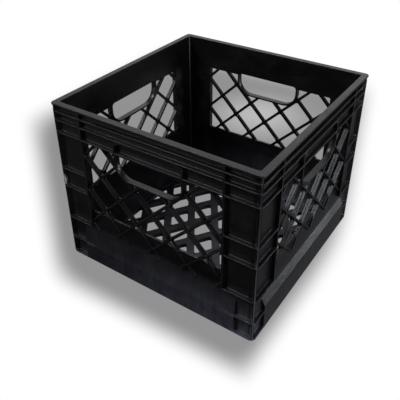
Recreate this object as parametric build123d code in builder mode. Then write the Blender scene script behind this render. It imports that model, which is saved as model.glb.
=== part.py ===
from build123d import *
import os
from math import sqrt

# A square open-topped storage crate moulded in one piece from black polyethylene.
# Four lattice walls with hand holes stand on a diamond-grid floor.
# Frame: origin at the centre of the underside, +Z up, walls square to X and Y, millimetres.

# ---- Driving dimensions ----
WIDTH = 330.0  # across the rim, both ways
HEIGHT = 274.0
RIM_STEP = 0.4  # rim stands proud of the rib tips by this much
SHELL = 3.0  # thickness of the moulded skin
WALL_DEPTH = 9.0  # rib tip to cavity face
RIM_ROUND = 0.8
RIM_R = 6.0  # outer corners of the rim
CORNER_R = 8.0  # outer corners of ribs and skin
CAVITY_R = 3.0  # corners inside the cavity
RIB = 2.4  # thickness of the horizontal ribs
FOOT_FLANGE = 2.6  # closes the bottom of the post pockets

# Depths are measured down from the top of the rim
RING_DEPTHS = (12.6, 25.6, 44.7)  # ribs that run right round the crate
POST_DEPTHS = (104.5, 136.0, 194.0, 232.7)  # ribs on the corner posts only

# Wall window and its diagonal lattice
WINDOW_HALF = 112.5
WINDOW_TOP = 50.0
WINDOW_BOTTOM = 166.5
WINDOW_R = 2.0
JAMB = 3.0  # upright rib along each side of the window
JAMB_END = 194.0
BAR = 2.2  # lattice ribs at their outer edge
BAR_ROOT = 4.6  # lattice bars in the skin behind those ribs
BAR_CORNER = 3.2  # rounds the corners of the openings between bars
BAR_TOP = 44.7
LONG_BAR_END = 196.0  # front and back bars run on to the top of the slope
SHORT_BAR_END = 185.4  # left and right bars stop at their lowest row of crossings
BAR_INSET = 2.15  # lattice bars stop short of the rib tips
PITCH = 57.57  # between parallel bars, measured along the wall
NODE_DEPTH = 126.8  # a crossing on the wall's centre line
BAR_STEPS = 4  # parallel bars each side of that crossing

# Hand hole with a collar, and a blind pocket above it
HOLE_HALF = 53.0
HOLE_TOP = 47.0
HOLE_BOTTOM = 82.0
HOLE_TOP_R = 5.0
HOLE_LOW_R = 22.0
COLLAR = 3.0
COLLAR_TOP = 25.6
COLLAR_TOP_R = 12.0
LINTEL = 3.5  # thickness of the grip above the hand hole

# Skirt: a slope that swells out to an upright band, as top, end and half length
LONG_SLOPE = (196.0, 235.0, 133.0)  # front and back
SHORT_SLOPE = (210.0, 222.0, 135.6)  # left and right
WEB_SPACING = 50.0  # upright webs hidden inside the skirt
WEBS_EACH_SIDE = 2  # and one in the middle
SKIRT_WALL = 2.6
HOLLOW_DROP = 10.0  # the skirt's hollow starts this far below the slope's top

FIN = 2.2  # upright fin on the diagonal of each corner post

# Base: an inset ring that drops inside the rim of the crate below, with a floor grid in it
BASE_DROP = 10.0  # the skirt stands this far off the ground
BASE_HALF = 153.0
BASE_R = 5.0
BASE_WALL = 3.5
LEDGE_HALF = 147.0  # inner edge of the ledge between wall and base
DIAMONDS_X = 6  # floor diamonds across the ledge opening
DIAMONDS_Y = 4
FLOOR_BAR = 12.5  # width of a floor bar, an upturned channel
FLOOR_CORNER = 3.0  # rounds the corners of the floor's openings
FLOOR_TOP = 8.0
FLOOR_WALL = 2.6

# ---- Derived sizes ----
RIM_HALF = WIDTH / 2
TIP_HALF = RIM_HALF - RIM_STEP
CAVITY_HALF = TIP_HALF - WALL_DEPTH
SKIN_HALF = CAVITY_HALF + SHELL
BAR_HALF = TIP_HALF - BAR_INSET
OVERLAP = 0.5  # how far added features run into the skin
AMPLE = 4 * WIDTH  # a length that reaches past everything before it is trimmed


def height_of(depth):
    """Height above the ground of a point this far below the rim's top."""
    return HEIGHT - depth


def side_plane(angle, distance):
    """Upright plane facing out of one wall: x runs along the wall, y is up."""
    along = Vector(1, 0, 0).rotate(Axis.Z, angle)
    outward = Vector(0, -1, 0).rotate(Axis.Z, angle)
    return Plane(origin=outward * distance, x_dir=along, z_dir=outward)


def rib_planes(depths):
    """Level planes under horizontal ribs centred at these depths."""
    return [Plane.XY.offset(height_of(depth) - RIB / 2) for depth in depths]


def bowl_outline(half, top, bottom, top_r, low_r):
    """Outline of the hand hole: small shoulders above and a round bowl below."""
    with BuildSketch(Plane.XY) as outline:
        with Locations((0, (top + bottom) / 2)):
            Rectangle(2 * half, top - bottom)
        fillet(outline.vertices().group_by(Axis.Y)[0], low_r)
        fillet(outline.vertices().group_by(Axis.Y)[-1], top_r)
    return outline.sketch


# ---- Outlines drawn flat: x along the wall, y up from the ground ----
hole = bowl_outline(
    HOLE_HALF, height_of(HOLE_TOP), height_of(HOLE_BOTTOM), HOLE_TOP_R, HOLE_LOW_R
)
collar = bowl_outline(
    HOLE_HALF + COLLAR,
    height_of(COLLAR_TOP),
    height_of(HOLE_BOTTOM + COLLAR),
    COLLAR_TOP_R,
    HOLE_LOW_R + COLLAR,
)
with BuildSketch(Plane.XY) as pocket:
    with Locations((0, height_of((COLLAR_TOP + HOLE_TOP) / 2))):
        Rectangle(2 * HOLE_HALF, HOLE_TOP - COLLAR_TOP)
    add(offset(collar, -COLLAR, mode=Mode.PRIVATE), mode=Mode.INTERSECT)
    with Locations((0, height_of(HOLE_TOP - LINTEL / 2))):
        Rectangle(3 * HOLE_HALF, LINTEL, mode=Mode.SUBTRACT)


# ---- Lattice, jambs and collar of a wall, standing where the front wall goes ----
def lattice_ribs(bar_end):
    """Flat outline of the diagonal ribs, from under the rim down to this depth."""
    with BuildSketch(Plane.XY) as ribs:
        for step in range(-BAR_STEPS, BAR_STEPS + 1):
            with Locations((0, height_of(NODE_DEPTH + step * PITCH))):
                Rectangle(AMPLE, BAR, rotation=45)
                Rectangle(AMPLE, BAR, rotation=-45)
        with Locations((0, height_of((BAR_TOP + bar_end) / 2))):
            Rectangle(2 * WINDOW_HALF + JAMB, bar_end - BAR_TOP, mode=Mode.INTERSECT)
    return ribs.sketch


def lattice_web():
    """Flat outline of the wider bars in the skin: the window less its rounded diamonds."""
    spacing = PITCH / sqrt(2)
    opening = spacing - BAR_ROOT
    with BuildSketch(Plane.XY) as web:
        with Locations((0, height_of((BAR_TOP + WINDOW_BOTTOM) / 2))):
            Rectangle(2 * WINDOW_HALF + JAMB, WINDOW_BOTTOM - BAR_TOP)
        with Locations(Location((0, height_of(NODE_DEPTH)), 45)):
            with GridLocations(spacing, spacing, 2 * BAR_STEPS, 2 * BAR_STEPS):
                RectangleRounded(opening, opening, BAR_CORNER, mode=Mode.SUBTRACT)
    return web.sketch


def wall_ribs(bar_end):
    """Every upright and diagonal rib on the front wall."""
    with BuildPart() as ribs:
        with BuildSketch(side_plane(0, CAVITY_HALF)):
            add(lattice_ribs(bar_end))
        extrude(amount=BAR_HALF - CAVITY_HALF)
        with BuildSketch(side_plane(0, CAVITY_HALF)):
            add(lattice_web())
        extrude(amount=SHELL)
        with BuildSketch(side_plane(0, CAVITY_HALF)):
            with Locations((0, height_of(JAMB_END / 2))):
                Rectangle(2 * (WINDOW_HALF + JAMB), JAMB_END - SHELL)
                Rectangle(2 * WINDOW_HALF, HEIGHT, mode=Mode.SUBTRACT)
            add(collar)
        extrude(amount=WALL_DEPTH)
    return ribs.part


# ---- Ribs, foot flange and fins of the four corner posts ----
with BuildPart() as posts:
    with BuildSketch(*rib_planes(POST_DEPTHS)):
        RectangleRounded(2 * TIP_HALF, 2 * TIP_HALF, CORNER_R)
    extrude(amount=RIB)
    with BuildSketch(Plane.XY.offset(BASE_DROP)):
        RectangleRounded(2 * TIP_HALF, 2 * TIP_HALF, CORNER_R)
    extrude(amount=FOOT_FLANGE)
    fin_reach = (TIP_HALF - CORNER_R) * sqrt(2) + CORNER_R
    with BuildSketch(Plane.XY.offset(BASE_DROP)):
        Rectangle(2 * fin_reach, FIN, rotation=45)
        Rectangle(2 * fin_reach, FIN, rotation=-45)
    extrude(amount=HEIGHT - BASE_DROP - SHELL / 2)
    post_inner = WINDOW_HALF + JAMB / 2
    with BuildSketch(Plane.XY):
        Rectangle(2 * post_inner, AMPLE)
        Rectangle(AMPLE, 2 * post_inner)
    extrude(amount=HEIGHT, mode=Mode.SUBTRACT)


# ---- Floor grid: upturned channels along both diagonals of a 3 by 2 diamond ----
def diamond(half_x, half_y, bar_width):
    """Flat opening of a diamond grid whose bars have this width, with rounded corners."""
    inset = 1 - bar_width / 2 * sqrt(half_x**2 + half_y**2) / (half_x * half_y)
    across = half_x * inset
    along = half_y * inset
    with BuildSketch(Plane.XY) as opening:
        Polygon((across, 0), (0, along), (-across, 0), (0, -along))
        fillet(opening.vertices(), FLOOR_CORNER)
    return opening.sketch


def floor_bars(width, top):
    """Solid floor bars of this width, from the ground up to this height."""
    step_x = 2 * LEDGE_HALF / DIAMONDS_X
    step_y = 2 * LEDGE_HALF / DIAMONDS_Y
    reach = 2 * BASE_HALF - BASE_WALL
    opening = diamond(step_x / 2, step_y / 2, width)
    with BuildPart() as bars:
        with BuildSketch(Plane.XY):
            Rectangle(reach, reach)
            with GridLocations(step_x, step_y, DIAMONDS_X, DIAMONDS_Y + 1):
                add(opening, mode=Mode.SUBTRACT)
            with GridLocations(step_x, step_y, DIAMONDS_X + 1, DIAMONDS_Y):
                add(opening, mode=Mode.SUBTRACT)
        extrude(amount=top)
    return bars.part


def skirt(slope_start, slope_end, band_half):
    """Hollow skirt of the front wall: slope above, upright band below, open underneath."""
    section = Plane(origin=(0, 0, 0), x_dir=(0, -1, 0), z_dir=(-1, 0, 0))
    root = SKIN_HALF - OVERLAP
    slope_top = height_of(slope_start)
    slope_foot = height_of(slope_end)
    with BuildSketch(section) as profile:
        with BuildLine():
            Polyline(
                (root, BASE_DROP),
                (TIP_HALF, BASE_DROP),
                (TIP_HALF, slope_foot),
                (SKIN_HALF, slope_top),
                (root, slope_top),
                close=True,
            )
        make_face()
    with BuildSketch(section) as hollow:
        with BuildLine():
            Polyline(
                (SKIN_HALF, BASE_DROP),
                (TIP_HALF - SKIRT_WALL, BASE_DROP),
                (TIP_HALF - SKIRT_WALL, slope_foot - SKIRT_WALL / 2),
                (SKIN_HALF, slope_top - HOLLOW_DROP),
                close=True,
            )
        make_face()
    with BuildPart() as body:
        extrude(profile.sketch, amount=band_half, both=True)
        extrude(hollow.sketch, amount=band_half - SKIRT_WALL, both=True, mode=Mode.SUBTRACT)
        for web in range(-WEBS_EACH_SIDE, WEBS_EACH_SIDE + 1):
            with BuildSketch(section.offset(web * WEB_SPACING)):
                add(section.to_local_coords(profile.sketch))
            extrude(amount=SKIRT_WALL / 2, both=True)
    return body.part


# ---- Openings in the front wall ----
with BuildPart() as window:
    with BuildSketch(side_plane(0, CAVITY_HALF - OVERLAP)):
        with Locations((0, height_of((WINDOW_TOP + WINDOW_BOTTOM) / 2))):
            RectangleRounded(2 * WINDOW_HALF, WINDOW_BOTTOM - WINDOW_TOP, WINDOW_R)
    extrude(amount=SHELL + 2 * OVERLAP)

with BuildPart() as hand_hole:
    with BuildSketch(side_plane(0, CAVITY_HALF - OVERLAP)):
        add(hole)
    extrude(amount=WALL_DEPTH + 2 * OVERLAP)
    with BuildSketch(side_plane(0, SKIN_HALF)):
        add(pocket.sketch)
    extrude(amount=WALL_DEPTH)


# ---- The crate ----
with BuildPart() as crate_body:
    # Rim flange
    with BuildSketch(Plane.XY.offset(HEIGHT - SHELL)):
        RectangleRounded(2 * RIM_HALF, 2 * RIM_HALF, RIM_R)
    extrude(amount=SHELL)
    fillet(crate_body.edges().group_by(Axis.Z)[-1], RIM_ROUND)

    # Skin with the ribs that run right round it
    with BuildSketch(Plane.XY.offset(BASE_DROP)):
        RectangleRounded(2 * SKIN_HALF, 2 * SKIN_HALF, CORNER_R)
    extrude(amount=HEIGHT - BASE_DROP - SHELL / 2)
    with BuildSketch(*rib_planes(RING_DEPTHS)):
        RectangleRounded(2 * TIP_HALF, 2 * TIP_HALF, CORNER_R)
    extrude(amount=RIB)
    add(posts.part)
    with PolarLocations(0, 2):
        add(skirt(*LONG_SLOPE))
    with PolarLocations(0, 2, start_angle=90):
        add(skirt(*SHORT_SLOPE))

    # Cavity, with a ledge left round its floor
    with BuildSketch(Plane.XY.offset(BASE_DROP)):
        RectangleRounded(2 * CAVITY_HALF, 2 * CAVITY_HALF, CAVITY_R)
    extrude(amount=HEIGHT, mode=Mode.SUBTRACT)
    with BuildSketch(Plane.XY.offset(FLOOR_TOP)):
        RectangleRounded(2 * SKIN_HALF, 2 * SKIN_HALF, CORNER_R)
        Rectangle(2 * LEDGE_HALF, 2 * LEDGE_HALF, mode=Mode.SUBTRACT)
    extrude(amount=SHELL)

    # Windows, lattices and hand holes
    with PolarLocations(0, 4):
        add(window.part, mode=Mode.SUBTRACT)
    with PolarLocations(0, 2):
        add(wall_ribs(LONG_BAR_END))
    with PolarLocations(0, 2, start_angle=90):
        add(wall_ribs(SHORT_BAR_END))
    with PolarLocations(0, 4):
        add(hand_hole.part, mode=Mode.SUBTRACT)

    # Base ring and floor grid
    with BuildSketch(Plane.XY):
        RectangleRounded(2 * BASE_HALF, 2 * BASE_HALF, BASE_R)
        Rectangle(2 * (BASE_HALF - BASE_WALL), 2 * (BASE_HALF - BASE_WALL), mode=Mode.SUBTRACT)
    extrude(amount=FLOOR_TOP + SHELL / 2)
    add(floor_bars(FLOOR_BAR, FLOOR_TOP))
    add(floor_bars(FLOOR_BAR - 2 * FLOOR_WALL, FLOOR_TOP - FLOOR_WALL), mode=Mode.SUBTRACT)

crate_body.part.label = "crate_body"
os.makedirs("parts", exist_ok=True)
export_step(crate_body.part, "parts/crate_body.step")
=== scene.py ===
"""Black moulded storage crate on a pale studio floor. Metres, same frame as the CAD."""
import math

import bpy
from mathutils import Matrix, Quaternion, Vector
from mathutils.geometry import convex_hull_2d


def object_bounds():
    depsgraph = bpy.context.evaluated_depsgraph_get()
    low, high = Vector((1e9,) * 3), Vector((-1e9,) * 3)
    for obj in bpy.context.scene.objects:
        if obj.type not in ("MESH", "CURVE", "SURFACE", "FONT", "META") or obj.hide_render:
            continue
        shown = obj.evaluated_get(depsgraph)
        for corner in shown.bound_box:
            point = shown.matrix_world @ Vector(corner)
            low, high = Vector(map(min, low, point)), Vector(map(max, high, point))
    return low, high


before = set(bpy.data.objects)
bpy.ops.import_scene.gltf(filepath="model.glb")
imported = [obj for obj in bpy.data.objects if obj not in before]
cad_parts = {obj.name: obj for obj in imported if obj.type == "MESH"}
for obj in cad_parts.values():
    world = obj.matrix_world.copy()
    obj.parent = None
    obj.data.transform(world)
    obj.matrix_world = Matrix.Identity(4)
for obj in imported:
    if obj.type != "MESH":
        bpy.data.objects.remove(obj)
cad_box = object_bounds()

LOW, HIGH = cad_box
HALF = HIGH.x  # half the crate's width

# ---- Camera ----
CAMERA_PLACE = Vector((0.37961, -0.60441, 0.60289))
CAMERA_AIM = Vector((-0.48113, 0.69965, -0.52820))
CAMERA_ROLL = math.radians(-0.5)
CAMERA_LENS = 49.27
SENSOR = 36.0
CAMERA_SHIFT = (0.0082, -0.1097)  # the picture's middle lies below the lens axis
CAMERA_TURN = CAMERA_AIM.to_track_quat("-Z", "Y") @ Quaternion((0, 0, 1), CAMERA_ROLL)
CAMERA_AXES = [CAMERA_TURN @ Vector(axis) for axis in ((1, 0, 0), (0, 1, 0), (0, 0, -1))]

# ---- Floor ----
WHITE = (1, 1, 1, 1)
FLOOR_SIZE = 12.0
FLOOR_GAP = 0.0005  # below the crate's underside
FLOOR_ROUGHNESS = 0.7
FLOOR_COLOUR = (0.93, 0.93, 0.93, 1)
FLOOR_TO_CRATE = (0.03, 0.03, 0.034, 1)  # a dimmer floor for light bounced onto the crate

# Painted shadow. Its sizes are slopes: metres across the view per metre from the camera
SHADOW_COLOUR = (0.285, 0.285, 0.29, 1)
SHADOW_SLIP = Vector((-0.0185, -0.042))  # left and down
SHADOW_GROWTH = Vector((1.035, 1.05))  # a little larger than the crate
SHADOW_BLUR = 0.036
SHADOW_CORNER = 0.05
FAR_INSIDE = -1.0
SKIRT_LIFT = 0.010  # the skirt's lower edge above the floor
PATCH_COLOUR = (0.50, 0.50, 0.51, 1)  # patch of light on the floor behind the crate
PATCH_PLACE = (-0.15, 0.43, 0.0)
PATCH_REACH = 0.16
CAMERA_RAY = (-0.9999, -0.99999)  # cosines: a ray from near, and from exactly, the camera's place

# ---- Light ----
BACKDROP = 1.1  # strength of the white that the camera sees
ROOM_DIM, ROOM_BRIGHT = 0.07, 1.1
WINDOW_SIDE = Vector((-0.35, 0.75, 0.55))  # the room is brightest this way
WINDOW_SPREAD = 0.72  # cosine at which its light has faded out
LAMP_COLOUR = (0.93, 0.96, 1.0)
SUN_TRAVEL = (-0.45, -0.35, -1.0)
SUN_ANGLE = math.radians(14)
SUN_STRENGTH = 3.6
# Softboxes that light only the crate: name, place, aim, width, watts
SOFTBOXES = (
    ("upper_left_softbox", (-0.7, -0.95, 1.41), (0.1, 0, 0.15), 0.5, 15),
    ("right_strip", (1.55, 1.15, 0.20), (0.165, 0, 0.05), 0.4, 10),
    ("low_front_strip", (-0.9, -1.65, 0.1), (0, -0.1, 0.05), 0.4, 3),
    ("right_fill", (1.5, -0.15, 0.75), (-0.1, 0, 0.2), 0.8, 12),
)

# ---- Moulded edges ----
EDGE_ROUND = 0.0005  # every moulded edge is softened by this much
EDGE_ANGLE = math.radians(28)
FACET_GAP = 0.00001  # facet corners closer than this are one point

# ---- Plastic ----
PLASTIC_DARK = (0.0022, 0.0022, 0.0025, 1)
PLASTIC_LIGHT = (0.0042, 0.0042, 0.0048, 1)
SMUDGE_COLOUR = (0.011, 0.011, 0.012, 1)
# Painted sheen: a lighter, bluish colour low down that stands in for light reflected onto the lower
# band
LOW_SHEEN_COLOUR = (0.115, 0.115, 0.146, 1)
# Rubbed edges and a line down each corner fin: real wear and painted highlights together
RUB_AND_GLINT_COLOUR = (0.14, 0.14, 0.145, 1)
SCRATCH_COLOUR = (0.045, 0.045, 0.046, 1)
DUST_COLOUR = (0.10, 0.098, 0.094, 1)
SCRATCH_SHOWS = 0.35
DUST_SHOWS = 0.10
GLOSS = 0.45
ROUGH_LOW, ROUGH_HIGH = 0.28, 0.40  # varies with the flow marks
# How much each of these adds to the roughness
GRAIN_ROUGH = 0.10
STREAK_ROUGH = 0.06
DUST_ROUGH = 0.12
SCRATCH_ROUGH = 0.15

RUB_GLINT_REACH = 0.0012  # how far from an edge the plastic is rubbed and carries a painted highlight
RUB_GLINT_SAMPLES = 6
RUB_GLINT_BEND = (0.985, 0.90)  # cosine of the bend beside an edge: no rubbing or painted highlight, full rubbing and painted highlight
# Distances short of a square corner, measured as |x| + |y|
RUB_GLINT_START, RUB_GLINT_FULL = 0.11, 0.01
RUB_GLINT_LEAST = 0.12  # in the middle of a wall
FIN_START, FIN_FULL = 0.0061, 0.0056  # tips of the corner fins
FIN_GLINT_TOP, FIN_GLINT_LOW = 0.24, 0.04  # heights at which the painted highlight line down the fins, partly rubbed, is faintest and strongest
FIN_LEAST = 0.25
# Painted sheen low down: where it starts and is full, and how it thins towards the walls
SHEEN_TOP, SHEEN_FULL = 0.085, 0.012  # heights
SHEEN_LEFT, SHEEN_RIGHT = 0.005, 0.065  # in from the left and right walls
SHEEN_LEFT_LEAST = 0.12
RIGHT_WALL_IN, RIGHT_WALL_OUT = 0.008, 0.0035  # the right wall's outside gets less of the painted sheen
RIGHT_WALL_LEAST = 0.2


# ---- Shader trees ----
class Nodes:
    """Short forms for building a shader tree."""

    def __init__(self, owner):
        owner.use_nodes = True
        self.tree = owner.node_tree
        self.shader = self.tree.nodes.get("Principled BSDF")

    def new(self, kind):
        return self.tree.nodes.new("ShaderNode" + kind)

    def put(self, source, socket):
        """Feed a socket from a node output or a plain value."""
        if isinstance(source, bpy.types.NodeSocket):
            self.tree.links.new(source, socket)
        else:
            socket.default_value = source

    def math(self, operation, a, b=0.0, c=0.0, clamp=False):
        node = self.new("Math")
        node.operation = operation
        node.use_clamp = clamp
        for value, socket in zip((a, b, c), node.inputs):
            self.put(value, socket)
        return node.outputs[0]

    def product(self, first, *others):
        """All the factors multiplied together."""
        for factor in others:
            first = self.math("MULTIPLY", first, factor)
        return first

    def vector(self, operation, a, b=(0, 0, 0)):
        """Vector arithmetic: a number for a dot product or a distance, otherwise a vector."""
        node = self.new("VectorMath")
        node.operation = operation
        self.put(a, node.inputs[0])
        self.put(b, node.inputs[1])
        return node.outputs["Value" if operation in ("DOT_PRODUCT", "DISTANCE") else "Vector"]

    def split(self, vector):
        """The X, Y and Z of a vector."""
        node = self.new("SeparateXYZ")
        self.put(vector, node.inputs[0])
        return node.outputs

    def noise(self, place, scale=1.0, detail=3.0, rough=0.5, distortion=0.0):
        node = self.new("TexNoise")
        self.put(place, node.inputs["Vector"])
        node.inputs["Scale"].default_value = scale
        node.inputs["Detail"].default_value = detail
        node.inputs["Roughness"].default_value = rough
        node.inputs["Distortion"].default_value = distortion
        return node.outputs["Fac"]

    def remap(self, value, start, full, out_start=0.0, out_full=1.0, curve="LINEAR"):
        """Ramp between two values, clamped at both ends."""
        node = self.new("MapRange")
        node.interpolation_type = curve
        self.put(value, node.inputs["Value"])
        node.inputs["From Min"].default_value = start
        node.inputs["From Max"].default_value = full
        node.inputs["To Min"].default_value = out_start
        node.inputs["To Max"].default_value = out_full
        return node.outputs["Result"]

    def turned(self, place, stretch, angles=(0, 0, 0)):
        """Coordinates turned and then stretched, for marks that run one way."""
        node = self.new("Mapping")
        self.put(place, node.inputs["Vector"])
        node.inputs["Rotation"].default_value = angles
        node.inputs["Scale"].default_value = stretch
        return node.outputs[0]

    def blend(self, amount, a, b):
        """Mix of two colours."""
        node = self.new("Mix")
        node.data_type = "RGBA"
        self.put(amount, node.inputs["Factor"])
        self.put(a, node.inputs[6])
        self.put(b, node.inputs[7])
        return node.outputs[2]

    def mix_shaders(self, amount, a, b):
        node = self.new("MixShader")
        for source, socket in zip((amount, a, b), node.inputs):
            self.put(source, socket)
        return node.outputs[0]

    def bump(self, height, distance, strength, under=None):
        node = self.new("Bump")
        self.put(height, node.inputs["Height"])
        node.inputs["Distance"].default_value = distance
        node.inputs["Strength"].default_value = strength
        if under is not None:
            self.put(under, node.inputs["Normal"])
        return node.outputs["Normal"]


def put_in_scene(thing):
    """Link a new object into the scene."""
    bpy.context.scene.collection.objects.link(thing)
    return thing


# ---- Camera and floor ----
def add_camera():
    """Camera with a shifted lens, looking down at the crate's near corner."""
    data = bpy.data.cameras.new("Camera")
    data.sensor_width = SENSOR
    data.lens = CAMERA_LENS
    data.shift_x, data.shift_y = CAMERA_SHIFT
    camera = put_in_scene(bpy.data.objects.new("Camera", data))
    camera.rotation_mode = "QUATERNION"
    camera.rotation_quaternion = CAMERA_TURN
    camera.location = CAMERA_PLACE
    bpy.context.scene.camera = camera


def shadow_outline():
    """Outline of the crate as the camera sees it, grown and slipped towards the lower left."""
    right, up, forward = CAMERA_AXES
    points = []
    for x in (LOW.x, HIGH.x):
        for y in (LOW.y, HIGH.y):
            for z in (LOW.z + SKIRT_LIFT, HIGH.z):
                ray = Vector((x, y, z)) - CAMERA_PLACE
                points.append(Vector((ray.dot(right), ray.dot(up))) / ray.dot(forward))
    middle = sum(points, Vector((0, 0))) / len(points)
    points = [middle + (point - middle) * SHADOW_GROWTH + SHADOW_SLIP for point in points]
    return [points[i] for i in convex_hull_2d(points)]


def outside_shadow(n, ray):
    """Mask on the floor: 0 well inside the shadow's outline, 1 well outside it."""
    across, up, depth = (n.vector("DOT_PRODUCT", ray, axis) for axis in CAMERA_AXES)
    across = n.math("DIVIDE", across, depth)
    up = n.math("DIVIDE", up, depth)
    outline = shadow_outline()
    outside = FAR_INSIDE
    for start, end in zip(outline, outline[1:] + outline[:1]):
        normal = Vector((end.y - start.y, start.x - end.x)).normalized()
        beyond = n.math("ADD", n.product(across, normal.x), n.product(up, normal.y))
        beyond = n.math("SUBTRACT", beyond, normal.dot(start))
        outside = n.math("SMOOTH_MAX", outside, beyond, SHADOW_CORNER)
    return n.remap(outside, -SHADOW_BLUR, SHADOW_BLUR, curve="SMOOTHERSTEP")


def floor_material():
    """Pale floor that carries a soft offset shadow, painted, as seen from the camera's own place."""
    material = bpy.data.materials.new("studio_floor")
    n = Nodes(material)
    by_camera = n.new("LightPath").outputs["Is Camera Ray"]
    n.put(n.blend(by_camera, FLOOR_TO_CRATE, FLOOR_COLOUR), n.shader.inputs["Base Color"])
    n.shader.inputs["Roughness"].default_value = FLOOR_ROUGHNESS

    geometry = n.new("NewGeometry").outputs
    ray = n.vector("SUBTRACT", geometry["Position"], CAMERA_PLACE)
    patch_distance = n.vector("DISTANCE", geometry["Position"], PATCH_PLACE)
    patch = n.remap(patch_distance, PATCH_REACH, 0.0, curve="SMOOTHSTEP")
    shade = n.blend(patch, SHADOW_COLOUR, PATCH_COLOUR)
    painted = n.new("Emission")
    n.put(n.blend(outside_shadow(n, ray), shade, WHITE), painted.inputs["Color"])

    towards_camera = n.vector("DOT_PRODUCT", geometry["Incoming"], n.vector("NORMALIZE", ray))
    from_its_place = n.product(n.remap(towards_camera, *CAMERA_RAY), by_camera)
    surface = n.mix_shaders(from_its_place, n.shader.outputs[0], painted.outputs[0])
    n.put(surface, n.tree.nodes["Material Output"].inputs["Surface"])
    return material


def add_floor():
    """Plain studio floor just under the crate."""
    bpy.ops.mesh.primitive_plane_add(size=FLOOR_SIZE, location=(0, 0, LOW.z - FLOOR_GAP))
    floor = bpy.context.object
    floor.name = "studio_floor"
    floor.data.materials.append(floor_material())
    return floor


# ---- Light ----
def add_lamp(data, travel, receiver):
    """Lamp that shines this way and lights nothing but the receiver."""
    lamp = put_in_scene(bpy.data.objects.new(data.name, data))
    lamp.rotation_euler = Vector(travel).to_track_quat("-Z", "Y").to_euler()
    group = bpy.data.collections.new(data.name + "_lights")
    group.objects.link(receiver)
    lamp.light_linking.receiver_collection = group
    return lamp


def add_softbox(name, place, aim, width, watts, receiver):
    """Round softbox aimed at a point."""
    data = bpy.data.lights.new(name, "AREA")
    data.shape = "DISK"
    data.size = width
    data.energy = watts
    data.color = LAMP_COLOUR
    lamp = add_lamp(data, Vector(aim) - Vector(place), receiver)
    lamp.location = place


def add_sun(receiver):
    """Distant soft light that gives the floor its ordinary shadow."""
    data = bpy.data.lights.new("floor_sun", "SUN")
    data.angle = SUN_ANGLE
    data.energy = SUN_STRENGTH
    add_lamp(data, SUN_TRAVEL, receiver)


def set_world():
    """White backdrop to the camera, and a dim room with one bright side to everything else."""
    world = bpy.data.worlds.new("studio")
    bpy.context.scene.world = world
    n = Nodes(world)
    n.tree.nodes.clear()
    facing = n.vector("DOT_PRODUCT", n.new("TexCoord").outputs["Generated"], WINDOW_SIDE.normalized())
    room = n.remap(facing, WINDOW_SPREAD, 1.0, ROOM_DIM, ROOM_BRIGHT)
    lit = n.new("Background")
    seen = n.new("Background")
    for background, strength in ((lit, room), (seen, BACKDROP)):
        background.inputs["Color"].default_value = WHITE
        n.put(strength, background.inputs["Strength"])
    by_camera = n.new("LightPath").outputs["Is Camera Ray"]
    surface = n.mix_shaders(by_camera, lit.outputs[0], seen.outputs[0])
    n.put(surface, n.new("OutputWorld").inputs["Surface"])


# ---- Black polyethylene ----
def edge_mask(n, normal):
    """1 beside an edge, where a rounded normal differs from the flat one, and 0 elsewhere."""
    rounded = n.new("Bevel")
    rounded.samples = RUB_GLINT_SAMPLES
    rounded.inputs["Radius"].default_value = RUB_GLINT_REACH
    return n.remap(n.vector("DOT_PRODUCT", rounded.outputs[0], normal), *RUB_GLINT_BEND)


def scratch_mask(n, place, cloud):
    """Fine scratches running along and slightly across the walls, in patches."""
    level = n.turned(place, (9.0, 9.0, 900.0), angles=(0.12, 0.07, 0.0))
    slanted = n.turned(place, (1100.0, 14.0, 14.0), angles=(0.5, 0.65, 0.3))
    level = n.remap(n.noise(level, detail=1.0), 0.70, 0.78)
    slanted = n.remap(n.noise(slanted, detail=1.0), 0.71, 0.78)
    return n.product(n.math("MAXIMUM", level, slanted), n.remap(cloud, 0.48, 0.68))


def rub_and_glint_mask(n, place, normal):
    """Rubbed edges with painted highlights, mostly near the corners, and a rubbed line with a painted
    highlight down each corner fin.
    """
    x, y, height = n.split(place)
    off_middle = n.math("ADD", n.math("ABSOLUTE", x), n.math("ABSOLUTE", y))
    patches = n.noise(place, scale=160.0, detail=5.0, rough=0.7)
    near_corners = n.remap(off_middle, 2 * HALF - RUB_GLINT_START, 2 * HALF - RUB_GLINT_FULL, RUB_GLINT_LEAST)
    edges = n.product(edge_mask(n, normal), near_corners, n.remap(patches, 0.36, 0.66))
    fins = n.remap(off_middle, 2 * HALF - FIN_START, 2 * HALF - FIN_FULL)
    low_down = n.remap(height, FIN_GLINT_TOP, FIN_GLINT_LOW, FIN_LEAST)
    fins = n.product(fins, low_down, n.remap(patches, 0.30, 0.50, 0.4))
    return n.math("MAXIMUM", edges, fins)


def low_sheen_mask(n, place, streak, cloud):
    """Painted sheen low down, standing in for reflected light, thinner towards the left and on the
    right wall.
    """
    x, _, height = n.split(place)
    return n.product(
        n.remap(height, SHEEN_TOP, SHEEN_FULL),
        n.remap(streak, 0.20, 0.80, 0.45),
        n.remap(cloud, 0.3, 0.65, 0.5),
        n.remap(x, SHEEN_LEFT - HALF, HALF - SHEEN_RIGHT, SHEEN_LEFT_LEAST),
        n.remap(x, HALF - RIGHT_WALL_IN, HALF - RIGHT_WALL_OUT, 1.0, RIGHT_WALL_LEAST),
    )


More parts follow.
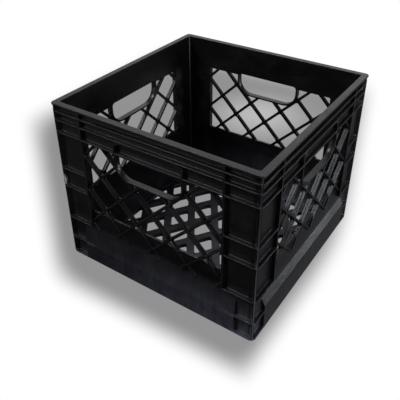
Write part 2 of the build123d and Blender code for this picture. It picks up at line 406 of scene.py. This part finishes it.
def plastic():
    """Near-black moulded polyethylene: flow marks, grain, smudges, a painted sheen low down, wear
    with painted highlights on the edges, and light dust.
    """
    material = bpy.data.materials.new("crate_plastic")
    n = Nodes(material)
    place = n.new("TexCoord").outputs["Object"]
    normal = n.new("NewGeometry").outputs["Normal"]

    grain = n.noise(place, scale=2600.0, detail=2.0, rough=0.6)
    flow = n.noise(n.turned(place, (1.0, 1.0, 3.0)), scale=14.0, rough=0.55, distortion=0.6)
    cloud = n.noise(place, scale=45.0, detail=4.0, rough=0.6)
    smudges = n.noise(place, scale=20.0, detail=6.0, rough=0.65, distortion=0.8)
    streak = n.noise(n.turned(place, (190.0, 190.0, 5.0)), rough=0.6)
    scratched = scratch_mask(n, place, cloud)
    upward = n.remap(n.split(normal)["Z"], 0.6, 0.98)
    dust = n.product(upward, n.remap(cloud, 0.35, 0.75))

    colour = n.blend(n.remap(flow, 0.3, 0.7), PLASTIC_DARK, PLASTIC_LIGHT)
    colour = n.blend(n.remap(smudges, 0.52, 0.72), colour, SMUDGE_COLOUR)
    # painted sheen: lighter and bluer low down, standing in for reflected light
    colour = n.blend(low_sheen_mask(n, place, streak, cloud), colour, LOW_SHEEN_COLOUR)
    # rubbed edges and fin lines, partly painted highlights
    colour = n.blend(rub_and_glint_mask(n, place, normal), colour, RUB_AND_GLINT_COLOUR)
    colour = n.blend(n.product(scratched, SCRATCH_SHOWS), colour, SCRATCH_COLOUR)
    colour = n.blend(n.product(dust, DUST_SHOWS), colour, DUST_COLOUR)
    n.put(colour, n.shader.inputs["Base Color"])

    rough = n.remap(flow, 0.25, 0.75, ROUGH_LOW, ROUGH_HIGH)
    rough = n.math("ADD", rough, n.product(n.math("SUBTRACT", grain, 0.5), GRAIN_ROUGH))
    rough = n.math("ADD", rough, n.product(n.math("SUBTRACT", streak, 0.5), STREAK_ROUGH))
    rough = n.math("ADD", rough, n.product(dust, DUST_ROUGH))
    rough = n.math("ADD", rough, n.product(scratched, SCRATCH_ROUGH), clamp=True)
    n.put(rough, n.shader.inputs["Roughness"])
    n.shader.inputs["Specular IOR Level"].default_value = GLOSS

    relief = n.bump(flow, distance=0.004, strength=0.10)
    relief = n.bump(grain, distance=0.00012, strength=0.35, under=relief)
    relief = n.bump(n.math("SUBTRACT", 1.0, scratched), distance=0.00015, strength=0.5, under=relief)
    n.put(relief, n.shader.inputs["Normal"])
    return material


# ---- The crate ----
def soften(crate):
    """Merge the CAD's facets and round its edges like a moulding."""
    weld = crate.modifiers.new("join_facets", "WELD")
    weld.merge_threshold = FACET_GAP
    bevel = crate.modifiers.new("moulded_edges", "BEVEL")
    bevel.width = EDGE_ROUND
    bevel.segments = 2
    bevel.limit_method = "ANGLE"
    bevel.angle_limit = EDGE_ANGLE
    bevel.use_clamp_overlap = False
    bevel.loop_slide = False
    bevel.harden_normals = True


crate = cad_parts["crate_body"]
crate.data.materials.clear()
crate.data.materials.append(plastic())
soften(crate)

add_camera()
floor = add_floor()
set_world()
add_sun(floor)
for name, place, aim, width, watts in SOFTBOXES:
    add_softbox(name, place, aim, width, watts, crate)
bpy.context.scene.view_settings.view_transform = "Standard"
